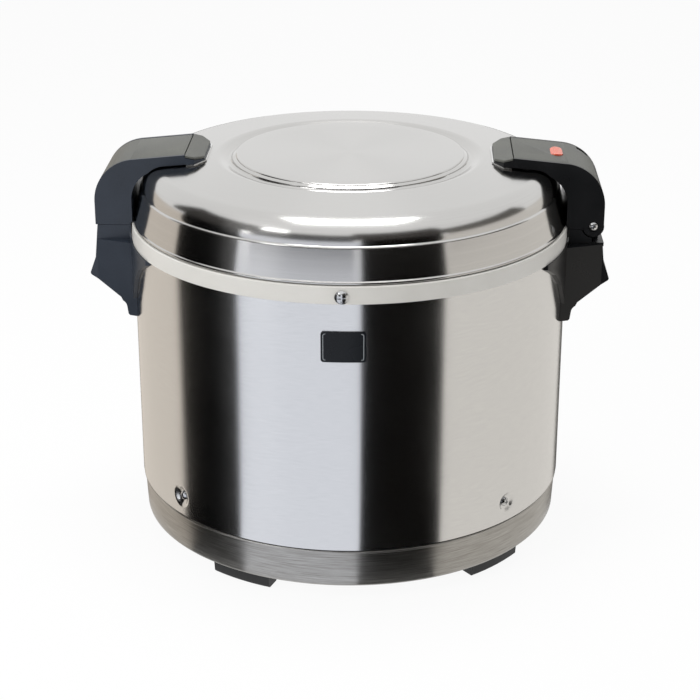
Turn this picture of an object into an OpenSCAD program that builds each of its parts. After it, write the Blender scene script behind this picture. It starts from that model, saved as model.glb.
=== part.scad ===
// Insulated rice cooker and warmer: a round stainless body, a hinged lid with two
// arm handles, a lift-out pot, and heaters in the base, round the well and in the lid.
// Millimetres, +Z up, origin on the table under the centre of the body.
// Front is -Y. The hinge handle is at +X and the latch handle at -X.

/* [Body] */
// Outer radius of the stainless body shell
body_r = 172.5; // [140:0.5:210]
// Thickness of the sheet-metal shell
shell_t = 1; // [0.8:0.1:1.2]
// Visible height of the shell between base ring and collar
shell_h = 200; // [165:1:245]
// Height of the plastic collar that closes the top of the body
collar_h = 13.3; // [11:0.1:16]
// How far the collar's lower edge stands proud of the shell
collar_proud = 1.5; // [1.2:0.1:1.8]
// Height of the brushed base ring
base_ring_h = 31; // [25:1:38]
// Height of the rubber feet
foot_h = 12; // [9:1:15]

/* [Pot and well] */
// Inner radius of the cooking pot
pot_r = 132; // [108:1:133]
// Wall of the cooking pot
pot_t = 2; // [1.6:0.1:2.4]
// Depth of the cooking pot from its rim to its floor inside
pot_depth = 183.5; // [150:0.5:184]
// Width of the air gap between the pot and the heated well
pot_gap = 7; // [3:0.5:8]
// Wall of the heated well
well_t = 1.2; // [1:0.1:1.5]

/* [Lid] */
// Height of the leaning lid wall from the rim to the crease
lid_wall_h = 27.6; // [23:0.1:34]
// Height of the rounded shoulder above the crease
shoulder_h = 16.9; // [14.2:0.1:19.5]
// How much the lid wall leans in between the rim and the crease
lid_lean = 8.1; // [6.8:0.1:9.8]
// Radius of the flat disc in the middle of the lid
disc_r = 90; // [75:1:92]
// Radius of the outer edge of the groove round the disc
groove_r = 105.5; // [102:0.5:107]
// Thickness of the lid's sheet metal
lid_t = 1; // [0.8:0.1:1.2]

/* [Handles] */
// Width of both handles, front to back
handle_w = 64.4; // [54:0.2:78]
// How far the handles' outer face stands out from the body shell
handle_out = 26.5; // [24:0.5:30]
// Wall of the hollow handle mouldings
handle_wall = 2.4; // [2:0.1:2.9]
// Height of the lower grips, from the split line down to the foot of the stub
grip_h = 72.6; // [66:0.2:84]
// Length of the grey nose cap beyond the top panel
nose_len = 14.5; // [12:0.5:18]
// Radius of the outer bend of the handle arms
bend_r = 34; // [31:0.5:36]

/* [Hinge and latch] */
// Radius of the steel hinge pin
hinge_pin_r = 3; // [2.5:0.1:3.6]
// Radius of the hinge knuckle
knuckle_r = 7.2; // [6:0.1:7.6]
// Radius of the release plate's pin
latch_pin_r = 2; // [1.7:0.1:2.4]
// Gap between moving pieces and their neighbours
move_gap = 0.4; // [0.3:0.05:0.5]

/* [Details] */
// Width of the bare badge plate
badge_w = 33; // [27:1:40]
// Height of the bare badge plate
badge_h = 23.6; // [20:0.2:28]
// Radius of the dome heads on the collar screws
collar_screw_r = 5.2; // [4.4:0.1:5.6]
// Length of the pilot lamp's lens across the handle
lamp_len = 22; // [18:1:26]
// Width of the pilot lamp's lens
lamp_w = 9.6; // [8:0.1:11.5]

/* [Hidden] */
$fn = 96;

eps = 0.01;
seat = 0.1;                                  // gap between pieces that sit on each other

// Heights of the stack, from the table up
z_ring = foot_h;
z_ring_top = z_ring + base_ring_h;
seam_low = 1.2;                              // dark seam between base ring and shell
z_collar = z_ring_top + shell_h;
z_collar_top = z_collar + collar_h;
z_rim = z_collar_top + move_gap;             // lowest point of the lid's rim
z_split = z_collar_top - 1.5;                // where the handles part
z_crease = z_rim + lid_wall_h;
z_shoulder = z_crease + shoulder_h;          // lid height at the end of the shoulder
shoulder_in = 16.9;                          // how far in the shoulder ends from the crease
annulus_slope = 5.4;                         // degrees

// Radii of the body
collar_r = body_r + collar_proud;
well_open_r = body_r - 22.5;                 // mouth of the collar
rim_r = body_r - 0.6;                        // lid rim bead
crease_r = rim_r - lid_lean + 0.7;
shoulder_r = crease_r - shoulder_in;         // where the shoulder meets the top annulus
pot_out_r = pot_r + pot_t;
well_r = pot_out_r + pot_gap;

// Levels inside the body
z_ledge = z_collar_top - 9.3;                // collar ledge that carries the well flange
well_flange_t = 1;
z_pot_rim = z_ledge + seat + well_flange_t + seat;
pot_flange_t = 1.5;
z_pot_floor = z_pot_rim + pot_flange_t - pot_depth;
z_pot_bottom = z_pot_floor - pot_t;
heater_t = 6.4;
z_heater = z_pot_bottom - 2 * seat - heater_t;
z_well_floor = z_heater - seat - well_t;

// Lid surface: z on the gently sloped top annulus at radius r
function annulus_z(r) = z_shoulder + (shoulder_r - r) * tan(annulus_slope);
z_groove_edge = annulus_z(groove_r);
z_disc = z_groove_edge + 1.6;
z_groove = z_groove_edge - 3.4;

// Points along an arc, from angle a0 to a1, in n steps
function arc(cx, cz, r, a0, a1, n) =
    [for (i = [0:n]) let (a = a0 + (a1 - a0) * i / n) [cx + r * cos(a), cz + r * sin(a)]];
function flip(points) = [for (i = [len(points) - 1:-1:0]) points[i]];

// The shoulder is one arc tangent to the annulus that ends at the crease
shoulder_n = [sin(annulus_slope), cos(annulus_slope)];
to_crease = [shoulder_in, -shoulder_h];
shoulder_arc = (to_crease * to_crease) / (-2 * (to_crease * shoulder_n));
shoulder_c = [shoulder_r, z_shoulder] - shoulder_arc * shoulder_n;
shoulder_end = atan2(z_crease - shoulder_c[1], crease_r - shoulder_c[0]);

// Section line of the lid from its centre to its rim, moved inward by t
function lid_line(t) = concat(
    [[0, z_disc - t]],
    arc(disc_r - 1.5, z_disc - 1.5, 1.5 - t / 2, 90, 12, 5),
    arc(disc_r + 5.5, z_groove + 3.2, 3.2 + t, 192, 290, 8),
    arc(groove_r, z_groove_edge - 12, 12 - t, 110, 90 - annulus_slope, 6),
    arc(shoulder_c[0], shoulder_c[1], shoulder_arc - t, 90 - annulus_slope, shoulder_end, 16),
    arc(crease_r - 1.2, z_crease - 3.2, 2.9 - t, 66, 14, 5),
    [[rim_r - 1.1 - t, z_rim + 2.7]],
    arc(rim_r - 1.2, z_rim + 1.2, 1.2 - t, 60, -90, 6)
);

// Places of the handles, given as distance u from the centre line
arm_in = body_r - 2.5;                       // inner face of the arm
arm_out = body_r + handle_out;               // outer face of the arm
bend_c = [arm_out - bend_r, z_shoulder - 27.5];
nose_seam = arm_out - 72;                    // joint between top panel and nose cap
nose_tip = nose_seam - nose_len;
arm_slope = 5.6;                             // degrees that the arm's top falls outward
arm_n = [sin(arm_slope), cos(arm_slope)];
bend_start = bend_c + bend_r * arm_n;        // where the top line runs into the bend
z_arm_top = bend_start[1];
z_nose = z_arm_top + (bend_start[0] - nose_seam) * tan(arm_slope);
z_tip = annulus_z(nose_tip) + 3.8;           // top of the nose at its tip
inner_bend_r = 24.5;
inner_bend_c = [arm_in - inner_bend_r, bend_c[1] + 1];
foot_plate_t = 1.2;
panel_t = 2.6;
panel_hw = handle_w / 2 - handle_wall - move_gap;
arm_hw = handle_w / 2;
z_panel_end = bend_c[1] + 18;                // lower edge of the panels on the outer face

// Hinge and latch axes
hinge_u = arm_out - 8;
hinge_z = z_split + 2.3;
knuckle_hw = 19.5;
ear_r = knuckle_r + 1;
notch_r = ear_r + 1;
z_shoulder_grip = hinge_z - 12.8;            // top of the hinge grip's outer shoulder
latch_u = arm_out - 13;
latch_z = bend_c[1] + 16.5;
hook_t = 2.6;
hook_hw = 7;
hook_u = latch_u + 0.2;                      // inner face of the hook blade
hook_reach = 2.4;                            // how far the hook's nose points inward
z_hook = z_split - 10.6;                     // lowest point of the hook
z_catch = z_hook + 2.6 + move_gap;           // underside of the catch tongue

// Grips
grip_wall_in = body_r + 6;                   // cavity side of the wall against the body
grip_out = body_r + handle_out + 1.3;
ear_out = body_r + 32.5;                     // outermost point of the flared lip
z_ear = z_split - 38.6;
z_stub = z_split - grip_h;
grip_screw_z = [z_split - 17, z_split - 50];
grip_screw_y = 20;
grip_screw_r = 2;
catch_screw_z = z_hook - 8;
back_plate_t = 3;

// Base
upstand_r = body_r - 3.7;                    // the screws pull the dimples onto this wall
upstand_t = 1.4;
dimple_z = z_ring_top + 16.5;
z_upstand = dimple_z + 6;
dimple_angles = [-48, 47, 132, 227];
dimple_d = 2.5;
foot_angles = [-29.5, 47, 150.5, 227];
foot_r = body_r - 15.5;                      // middle radius of the feet
foot_w = 15;
foot_span = 18;                              // degrees
inlet_z = z_ring_top + 35;
inlet_w = 32;
inlet_hh = 24;
inlet_pin_in = 27;                           // inner end of the inlet's pins, in from the shell
pin_head_r = 3;
z_block = z_ring + 2.4 + 2 * seat;           // terminal block on the base plate
block_h = 14;
lead_x = [-15, -5, 5, 15];
lead_r = 1.3;
lead_depth = 8;                              // how deep a lead sits in its terminal

// ---------- helpers ----------

// A ring between two radii and two heights
module ring(r_in, r_out, z0, z1) {
    rotate_extrude() translate([r_in, z0]) square([r_out - r_in, z1 - z0]);
}

// A solid disc between two heights
module cylinder_at(r, z0, z1) {
    translate([0, 0, z0]) cylinder(h = z1 - z0, r = r);
}

// Children built along +Z are turned to point outward at angle a and height z
module radial(a, z) {
    rotate([0, 0, a]) translate([0, 0, z]) rotate([90, 0, 0]) children();
}

// A flat outline in X and Z, extruded across Y from -hw to hw
module across(hw) {
    translate([0, hw, 0]) rotate([90, 0, 0]) linear_extrude(2 * hw) children();
}

// A flat outline in Y and Z, extruded along X from x0 to x1
module along_x(x0, x1) {
    translate([x0, 0, 0]) rotate([90, 0, 90]) linear_extrude(x1 - x0) children();
}

// A cylinder along Y from y0 to y1
module y_rod(r, y0, y1) {
    translate([0, y1, 0]) rotate([90, 0, 0]) cylinder(h = y1 - y0, r = r);
}

// Pan-head screw pointing down -Z, head underside at z = 0, with a cross recess
module screw(head_r, head_h, shank_r, len) {
    difference() {
        union() {
            intersection() {
                translate([0, 0, head_h - head_r * 1.3]) sphere(r = head_r * 1.3);
                cylinder(h = head_h, r = head_r);
            }
            translate([0, 0, -len]) cylinder(h = len + eps, r = shank_r);
        }
        for (a = [0, 90])
            rotate([0, 0, a])
                translate([-head_r * 0.55, -head_r * 0.11, head_h * 0.45])
                    cube([head_r * 1.1, head_r * 0.22, head_h]);
    }
}

// A flat rectangle with round corners
module rounded(w, h, r) {
    union() {
        translate([-w / 2 + r, -h / 2]) square([w - 2 * r, h]);
        translate([-w / 2, -h / 2 + r]) square([w, h - 2 * r]);
        for (x = [-1, 1], y = [-1, 1])
            translate([x * (w / 2 - r), y * (h / 2 - r)]) circle(r = r);
    }
}

// An insulated lead through a list of points
module lead(points, r) {
    for (i = [0:len(points) - 2]) {
        d = points[i + 1] - points[i];
        translate(points[i])
            rotate([0, acos(d[2] / norm(d)), atan2(d[1], d[0])])
                cylinder(h = norm(d), r = r, $fn = 24);
        if (i < len(points) - 2)
            translate(points[i + 1]) sphere(r = r * 1.15, $fn = 24);
    }
}

// Everything inside the lid's outer surface, raised by lift
module lid_envelope(lift) {
    translate([0, 0, lift])
        rotate_extrude()
            polygon(concat([[0, z_rim - 20]], lid_line(0), [[rim_r - 1.2, z_rim - 20]]));
}

// ---------- body ----------

module outer_shell() {
    color("#c9cacb") difference() {
        union() {
            ring(body_r - shell_t, body_r, z_ring_top + seam_low, z_collar + 8);
            intersection() {
                ring(upstand_r + seat, body_r, z_ring_top + seam_low, z_collar);
                for (a = dimple_angles)
                    radial(a, dimple_z)
                        translate([0, 0, upstand_r - 1])
                            cylinder(h = dimple_d + 4, r1 = 5.2, r2 = 9.6);
            }
        }
        for (a = dimple_angles)
            radial(a, dimple_z) {
                translate([0, 0, body_r - dimple_d]) cylinder(h = dimple_d + 1.5, r1 = 4.4, r2 = 8.6);
                translate([0, 0, body_r - 12]) cylinder(h = 20, r = 2.1);
            }
        for (a = [0, 180])
            radial(a, z_collar + collar_h * 0.4) translate([0, 0, body_r - 8]) cylinder(h = 12, r = 2.1);
        grip_screw_holes(grip_screw_r + seat);
        radial(180, inlet_z)
            translate([0, 0, body_r - 10])
                linear_extrude(20) rounded(inlet_w + 2 * seat, inlet_hh + 2 * seat, 3 + seat);
    }
}

module top_collar() {
    skirt = body_r + seat;
    wall = 2.2;
    color("#d9d7d1") difference() {
        rotate_extrude() polygon([
            [collar_r, z_collar], [collar_r - 0.7, z_collar_top - 1.1],
            [collar_r - 1.6, z_collar_top], [well_open_r + 1, z_collar_top],
            [well_open_r, z_collar_top - 1], [well_open_r, z_ledge],
            [well_open_r - 4, z_ledge], [well_open_r - 4, z_ledge - wall],
            [well_open_r + wall, z_ledge - wall], [well_open_r + wall, z_collar_top - wall],
            [skirt, z_collar_top - wall], [skirt, z_collar]
        ]);
        for (a = [0, 180])
            radial(a, z_collar + collar_h * 0.4) translate([0, 0, body_r - 8]) cylinder(h = 14, r = 2.1);
    }
}

module collar_screws() {
    color("#b9bbbc") for (a = [0, 180])
        radial(a, z_collar + collar_h * 0.4)
            translate([0, 0, collar_r]) screw(collar_screw_r, 2.5, 2, 8);
}

module shell_screws() {
    color("#b9bbbc") for (a = dimple_angles)
        radial(a, dimple_z)
            translate([0, 0, body_r - dimple_d + seat]) screw(3.6, 2.1, 2, 7);
}

module badge_plate() {
    color("#1d2024") intersection() {
        ring(body_r + seat / 2, body_r + 1, 0, z_collar);
        radial(0.4, z_collar - 33)
            translate([0, 0, body_r - 10]) linear_extrude(20) rounded(badge_w, badge_h, 2.2);
    }
}

module base_ring() {
    t = 1.2;
    foot_in = 4.7;                           // how much the ring leans in towards its foot
    color("#8f8f8c") difference() {
        rotate_extrude() polygon([
            [body_r - foot_in, z_ring], [body_r - foot_in + 1.4, z_ring + 5],
            [body_r - 1.2, z_ring_top - 2.2], [body_r - 0.6, z_ring_top - 1.4],
            [body_r - 0.6, z_ring_top - 0.4], [body_r - 1.2, z_ring_top],
            [upstand_r, z_ring_top], [upstand_r, z_upstand],
            [upstand_r - upstand_t, z_upstand], [upstand_r - upstand_t, z_ring_top - t],
            [body_r - 2.4, z_ring_top - t], [body_r - foot_in + 0.2, z_ring + 5],
            [body_r - foot_in - 1, z_ring + t], [foot_r - foot_w / 2 - 2, z_ring + t],
            [foot_r - foot_w / 2 - 2, z_ring]
        ]);
        for (a = dimple_angles)
            radial(a, dimple_z) translate([0, 0, body_r - 12]) cylinder(h = 20, r = 2.1);
        for (a = foot_angles)
            rotate([0, 0, a]) translate([0, -foot_r, z_ring - 1]) cylinder(h = 5, r = 2.1);
    }
}

module base_plate() {
    z0 = z_ring + 1.2 + seat;
    color("#9a9c9e") difference() {
        cylinder_at(body_r - 6.5, z0, z0 + 1.2);
        for (a = foot_angles)
            rotate([0, 0, a]) translate([0, -foot_r, z0 - 1]) cylinder(h = 5, r = 2.1);
        for (a = [0:60:300], i = [-2:2])
            rotate([0, 0, a]) translate([68, i * 9 - 2, z0 - 1]) cube([34, 4, 4]);
    }
}

module feet() {
    half = foot_span / 2;
    far = body_r + 20;
    color("#1b1c1d") for (a = foot_angles)
        rotate([0, 0, a - 90])
            difference() {
                intersection() {
                    rotate_extrude() polygon([
                        [foot_r - foot_w / 2, z_ring - seat], [foot_r - foot_w / 2, 1],
                        [foot_r - foot_w / 2 + 1, 0], [foot_r + foot_w / 2 - 2.5, 0],
                        [foot_r + foot_w / 2 - 0.8, 1.6], [foot_r + foot_w / 2, z_ring - seat]
                    ]);
                    linear_extrude(foot_h) polygon([
                        [0, 0], [far * cos(half), -far * sin(half)], [far * cos(half), far * sin(half)]
                    ]);
                }
                translate([foot_r, 0, -1]) cylinder(h = 5, r = 4.4);
                translate([foot_r, 0, -1]) cylinder(h = foot_h + 2, r = 2.1);
            }
}

module foot_screws() {
    color("#a7a9aa") for (a = foot_angles)
        rotate([0, 0, a]) translate([0, -foot_r, 4 - seat]) rotate([180, 0, 0])
            screw(4, 2.4, 2, foot_h);
}

module heated_well() {
    corner = 22;
    color("#b4b6b8") difference() {
        rotate_extrude() polygon(concat(
            [[0, z_well_floor]],
            arc(well_r + well_t - corner, z_well_floor + corner, corner, -90, 0, 8),
            [[well_r + well_t, z_ledge + seat], [well_open_r - 0.5, z_ledge + seat],
             [well_open_r - 0.5, z_ledge + seat + well_flange_t], [well_r, z_ledge + seat + well_flange_t]],
            arc(well_r + well_t - corner, z_well_floor + corner, corner - well_t, 0, -90, 8),
            [[0, z_well_floor + well_t]]
        ));
        cylinder_at(20, z_well_floor - 1, z_well_floor + 5);
    }
}

module inner_pot() {
    corner = 24;
    z_top = z_pot_rim + pot_flange_t;
    color("#55585b") rotate_extrude() polygon(concat(
        [[0, z_pot_bottom]],
        arc(pot_out_r - corner, z_pot_bottom + corner, corner, -90, 0, 10),
        [[pot_out_r, z_pot_rim], [well_open_r - 3.5, z_pot_rim],
         [well_open_r - 3.5, z_top], [pot_r + 1.5, z_top], [pot_r, z_top - 1.5]],
        arc(pot_out_r - corner, z_pot_bottom + corner, corner - pot_t, 0, -90, 10),
        [[0, z_pot_floor]]
    ));
}

module insulation_jacket() {
    color("#e6dfc4")
        ring(well_r + well_t + 4.2, upstand_r - 2.2, inlet_z + inlet_hh / 2 + 8, z_ledge - 9);
}

module side_heater() {
    color("#c58a3a") ring(well_r + well_t + seat, well_r + well_t + 3.6,
                          z_ring_top + 67, z_ring_top + 137);
}

module bottom_heater() {
    color("#a3a5a6") difference() {
        cylinder_at(104, z_heater, z_heater + heater_t);
        cylinder_at(24, z_heater - 1, z_heater + heater_t + 1);
        ring(52, 56, z_heater - 1, z_heater + 2);
        ring(80, 84, z_heater - 1, z_heater + 2);
    }
}

module thermostat() {
    color("#d8d9d9") {
        cylinder_at(18, z_well_floor - 8, z_pot_bottom - seat);
        ring(17, 26, z_well_floor - 2, z_well_floor - seat);
    }
}

module thermal_fuse() {
    color("#ece9e0") translate([60, -12, z_well_floor - 4.2]) rotate([-90, 0, 0])
        cylinder(h = 24, r = 4);
}

module terminal_block() {
    color("#eeeae0") translate([-22, 84, z_block]) difference() {
        cube([44, 18, block_h]);
        for (x = lead_x)
            translate([22 + x, 9, block_h - lead_depth]) cylinder(h = lead_depth + 1, r = lead_r + 0.5);
    }
}

// Leads from the block's terminals to the thermostat, the fuse and the inlet's pins
module leads() {
    y_block = 93;
    z_start = z_block + block_h - lead_depth + seat;
    z_bend = z_block + block_h + 5;
    z_fuse = z_well_floor - 4.2;
    y_pins = body_r - inlet_pin_in + 1.4;
    color("#c9c2b2") {
        lead([[lead_x[0], y_block, z_start], [lead_x[0], y_block, z_bend], [-12, 50, z_bend],
              [-10, 12, z_well_floor - 14], [-10, 12, z_well_floor - 8 - seat]], lead_r);
        lead([[lead_x[3], y_block, z_start], [lead_x[3], y_block, z_bend], [40, 50, z_bend],
              [60, 26, z_fuse], [60, 12 + seat, z_fuse]], lead_r);
        for (s = [-1, 1])
            lead([[s * 5, y_block, z_start], [s * 5, y_block, z_bend + 3], [s * 7, y_pins, z_bend + 3],
                  [s * 7, y_pins, inlet_z - pin_head_r - seat]], lead_r);
    }
}

module inlet_housing() {
    depth = 24;
    color("#232426") difference() {
        union() {
            radial(180, inlet_z) translate([0, 0, body_r - depth])
                linear_extrude(depth + 1) rounded(inlet_w, inlet_hh, 3);
            intersection() {
                ring(body_r + seat / 2, body_r + 6, inlet_z - 30, inlet_z + 30);
                radial(180, inlet_z) translate([0, 0, body_r - 8])
                    linear_extrude(10.6) rounded(inlet_w + 8, inlet_hh + 8, 4);
            }
        }
        radial(180, inlet_z) translate([0, 0, body_r - depth + 4])
            linear_extrude(depth + 6) rounded(inlet_w - 6, inlet_hh - 6, 2.5);
        for (x = [-7, 7])
            radial(180, inlet_z) translate([x, 0, body_r - depth - 1]) cylinder(h = 12, r = 2.1);
    }
}

module inlet_pins() {
    color("#c8a85a") for (x = [-7, 7])
        radial(180, inlet_z) translate([x, 0, body_r - inlet_pin_in]) {
            cylinder(h = 23, r = 2);
            cylinder(h = 2.8, r = pin_head_r);
        }
}

// ---------- lower grips ----------

flange_w = 54;                               // reach of the flange along the body, past the block
flare = 11.4;                                // how much wider the block is where it meets the body

// Plan of a grip's block below the collar, wider towards the body
module flared_plan() {
    in_u = body_r - 5.5;
    polygon([
        [body_r - 14, -arm_hw - flare], [in_u, -arm_hw - flare], [arm_out, -arm_hw], [ear_out + 1, -arm_hw],
        [ear_out + 1, arm_hw], [arm_out, arm_hw], [in_u, arm_hw + flare], [body_r - 14, arm_hw + flare]
    ]);
}

// Outline of a grip's main block in u and z
module grip_outline() {
    slope_u = body_r + 4;
    polygon(concat(
        [[body_r - 14, z_split - 0.3], [arm_out - 1.4, z_split - 0.3],
         [grip_out, z_split - 27], [grip_out + 2, z_split - 32.5]],
        arc(ear_out - 2.2, z_ear - 1.6, 2.2, 30, -60, 5),
        [[slope_u + 4, z_split - 58.2]],
        arc(slope_u + 4.6, z_split - 66, 5.4, 112, 178, 5),
        [[slope_u - 1.6, z_stub + 1.2], [slope_u - 2.8, z_stub], [body_r - 14, z_stub]]
    ));
}

// The side view of the flange that hugs the body, in y and z
module flange_outline() {
    tip = arm_hw + flange_w;
    half = [
        [arm_hw, z_split - 0.3], [arm_hw + 1.4, z_split - 6], [arm_hw + 5, z_split - 8.6],
        [arm_hw + 14, z_split - 10.4], [tip, z_split - 11.4], [tip, z_split - 15],
        [arm_hw + flange_w * 0.72, z_split - 24], [arm_hw + flange_w * 0.48, z_split - 36],
        [arm_hw + flange_w * 0.26, z_split - 52], [arm_hw + 5, z_stub + 5], [arm_hw + 1, z_stub]
    ];
    polygon(concat(half, [for (p = flip(half)) [-p[0], p[1]]]));
}

// Everything the grips have to clear: the shell, and the collar above it
module body_cut() {
    cylinder_at(body_r + seat, z_stub - 5, z_collar);
    cylinder_at(collar_r + 0.2, z_collar - 0.2, z_split + 5);
}

module grip_cavity_outline() {
    t = 3;
    polygon([
        [grip_wall_in, z_split - 3.4], [arm_out - 1.6 - t, z_split - 3.4],
        [grip_out - t, z_split - 27.2], [grip_out + 2 - t, z_split - 33],
        [ear_out - 0.4 - t, z_ear - 1], [ear_out - 0.4 - t, z_stub - 5], [grip_wall_in, z_stub - 5]
    ]);
}

// Holes for the screws that hold both grips, through grip wall, shell and back plate
module grip_screw_holes(r) {
    for (s = [-1, 1], z = grip_screw_z, y = [-grip_screw_y, grip_screw_y])
        translate([s * (body_r - 12), y, z]) rotate([0, s * 90, 0]) cylinder(h = 26, r = r);
}

module grip_head_recess() {
    for (s = [-1, 1], z = grip_screw_z, y = [-grip_screw_y, grip_screw_y])
        translate([s * (grip_wall_in - 2.8), y, z]) rotate([0, s * 90, 0]) cylinder(h = 6, r = 4);
}

// The moulding common to both grips, on the +X side
module grip_moulding() {
    difference() {
        union() {
            across(arm_hw) grip_outline();
            intersection() {
                across(arm_hw + flare + 1) grip_outline();
                translate([0, 0, z_stub - 1]) linear_extrude(z_collar - z_stub + 0.8) flared_plan();
            }
            intersection() {
                ring(body_r - 5, body_r + 2.9, z_stub - 1, z_split);
                along_x(body_r * 0.5, body_r + 20) flange_outline();
            }
        }
        across(arm_hw - 3) grip_cavity_outline();
        body_cut();
        grip_screw_holes(grip_screw_r + seat);
        grip_head_recess();
    }
}

module left_lower_grip() {
    color("#2c3036") difference() {
        mirror([1, 0, 0]) grip_moulding();
        // slot that the latch hook comes down through
        translate([-(hook_u + hook_t + 2.8), -hook_hw - 0.7, z_split - 6])
            cube([hook_t + hook_reach + 3.9, 2 * hook_hw + 1.4, 10]);
        catch_screw_holes(1.6);
    }
}

module right_lower_grip() {
    color("#17181a") difference() {
        union() {
            difference() {
                grip_moulding();
                translate([hinge_u, 0, hinge_z]) y_rod(notch_r, -arm_hw - 1, arm_hw + 1);
                translate([hinge_u - 1, -arm_hw - 1, z_shoulder_grip]) cube([30, handle_w + 2, 20]);
            }
            // floor under the notch, and the knuckle on its web
            difference() {
                across(arm_hw) polygon([
                    [hinge_u - notch_r - 4, z_split - 3.5], [hinge_u - notch_r - 4, z_shoulder_grip - 3],
                    [grip_out - 0.8, z_shoulder_grip - 3], [grip_out - 0.8, z_shoulder_grip],
                    [hinge_u, z_shoulder_grip], [hinge_u, z_split - 3.5]
                ]);
                translate([hinge_u, 0, hinge_z]) y_rod(notch_r, -arm_hw - 1, arm_hw + 1);
                translate([hinge_u - 1, -arm_hw - 1, z_shoulder_grip]) cube([30, handle_w + 2, 20]);
            }
            translate([hinge_u, 0, hinge_z]) y_rod(knuckle_r, -knuckle_hw, knuckle_hw);
            across(knuckle_hw) polygon([
                [hinge_u - 5.6, hinge_z - 3], [hinge_u - 5.6, z_shoulder_grip - 1],
                [hinge_u + 5, z_shoulder_grip - 1], [hinge_u + 5, hinge_z - 3.6]
            ]);
        }
        translate([hinge_u, 0, hinge_z]) y_rod(hinge_pin_r + 0.05, -knuckle_hw - 1, knuckle_hw + 1);
    }
}

module grip_back_plates() {
    color("#9b9d9f") difference() {
        intersection() {
            ring(body_r - shell_t - seat - back_plate_t, body_r - shell_t - seat,
                 min(grip_screw_z) - 9, max(grip_screw_z) + 9);
            union() {
                for (s = [-1, 1])
                    translate([s * body_r, 0, z_split - 33]) cube([60, 56, 70], center = true);
            }
        }
        grip_screw_holes(grip_screw_r + seat / 2);
    }
}

module grip_screws() {
    color("#b0b2b3")
        for (s = [-1, 1], z = grip_screw_z, y = [-grip_screw_y, grip_screw_y])
            translate([s * (grip_wall_in - 2.8 + seat / 2), y, z]) rotate([0, s * 90, 0])
                screw(3.7, 2.3, grip_screw_r, 8.4);
}

module catch_screw_holes(r) {
    for (y = [-4, 4])
        translate([-(grip_wall_in + 4), y, catch_screw_z]) rotate([0, 90, 0]) cylinder(h = 7.6, r = r);
}

// Spring-steel strip on the inner wall, with a tongue over the hook's nose
module latch_catch() {
    u0 = grip_wall_in + seat / 2;
    tongue = hook_u - hook_reach + 1.2;
    color("#a9abad") difference() {
        union() {
            translate([-(u0 + 0.8), -hook_hw, catch_screw_z - 5])
                cube([0.8, 2 * hook_hw, z_catch + 0.8 - catch_screw_z + 5]);
            translate([-tongue, -hook_hw, z_catch]) cube([tongue - u0, 2 * hook_hw, 0.8]);
        }
        catch_screw_holes(1.6);
    }
}

module catch_screws() {
    color("#b9bbbc") for (y = [-4, 4])
        translate([-(grip_wall_in + 0.8 + seat), y, catch_screw_z]) rotate([0, -90, 0])
            screw(2.6, 1.5, 1.5, 4.4);
}

// ---------- lid ----------

module lid_shell() {
    color("#c4c4c2") difference() {
        rotate_extrude() polygon(concat(lid_line(0), flip(lid_line(lid_t))));
        arm_screw_holes(2.1);
    }
}

liner_r = well_open_r - 2.5;
z_liner = z_collar_top - 4.8;                // underside of the liner's floor
z_liner_flange = z_collar_top + 1.6;

module lid_liner() {
    t = 1;
    color("#b8babb") difference() {
        rotate_extrude() polygon([
            [0, z_liner], [liner_r, z_liner], [liner_r, z_liner_flange],
            [rim_r - 3.1, z_liner_flange], [rim_r - 3.1, z_liner_flange + t],
            [liner_r - t, z_liner_flange + t], [liner_r - t, z_liner + t], [0, z_liner + t]
        ]);
        cylinder_at(3.1, z_liner - 1, z_liner + 3);
    }
}

module lid_insulation() {
    r_low = liner_r - 2.5;
    color("#e6dfc4") rotate_extrude() polygon([
        [8, z_liner + 4.8], [r_low, z_liner + 4.8], [r_low, z_liner_flange + 1.5],
        [rim_r - 9, z_liner_flange + 1.5], [crease_r - 6, z_crease],
        [shoulder_r - 6, z_shoulder - 4.5], [8, z_shoulder - 4.5]
    ]);
}

module lid_heater() {
    color("#d7c9a8") for (r = [50, 80, 110])
        translate([0, 0, z_liner + 1 + seat + 1.5])
            rotate_extrude() translate([r, 0]) circle(r = 1.5, $fn = 32);
}

module lid_gasket() {
    z_pot_top = z_pot_rim + pot_flange_t;
    r_mid = (pot_r + well_open_r) / 2;
    color("#cfcdc6") rotate_extrude() polygon([
        [r_mid - 4, z_liner - seat / 2], [r_mid - 3, z_pot_top + move_gap],
        [r_mid + 3, z_pot_top + move_gap], [r_mid + 4, z_liner - seat / 2]
    ]);
}

inner_lid_r = pot_r - 4;
z_inner_lid = z_liner - 5.3;

module inner_lid() {
    t = 1;
    color("#c2c4c6") difference() {
        rotate_extrude() polygon([
            [3.3, z_inner_lid], [inner_lid_r - 8, z_inner_lid], [inner_lid_r - t, z_inner_lid - 3],
            [inner_lid_r, z_inner_lid - 3], [inner_lid_r, z_inner_lid - 2.2],
            [inner_lid_r - 8, z_inner_lid + t], [12, z_inner_lid + t],
            [12, z_liner - seat], [3.3, z_liner - seat]
        ]);
        for (a = [0:45:315])
            rotate([0, 0, a]) translate([72, 0, z_inner_lid - 1]) cylinder(h = 3, r = 4);
    }
}

knob_h = 7.4;
z_knob = z_inner_lid - move_gap - knob_h;

module inner_lid_stud() {
    color("#b0b2b3") {
        cylinder_at(3, z_knob - 2.5, z_liner + 2.4);
        cylinder_at(7, z_liner + 1 + seat / 2, z_liner + 3);
        cylinder_at(5.2, z_knob - 3.6, z_knob - move_gap);
    }
}

module inner_lid_knob() {
    color("#2a2b2d") difference() {
        union() {
            cylinder_at(11, z_knob, z_knob + knob_h);
            for (s = [-1, 1])
                translate([s * 13, 0, z_knob]) cylinder(h = knob_h - 1.5, r = 5);
            translate([-13, -5, z_knob]) cube([26, 10, knob_h - 1.5]);
        }
        cylinder_at(3.06, z_knob - 1, z_knob + knob_h + 1);
    }
}

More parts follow.
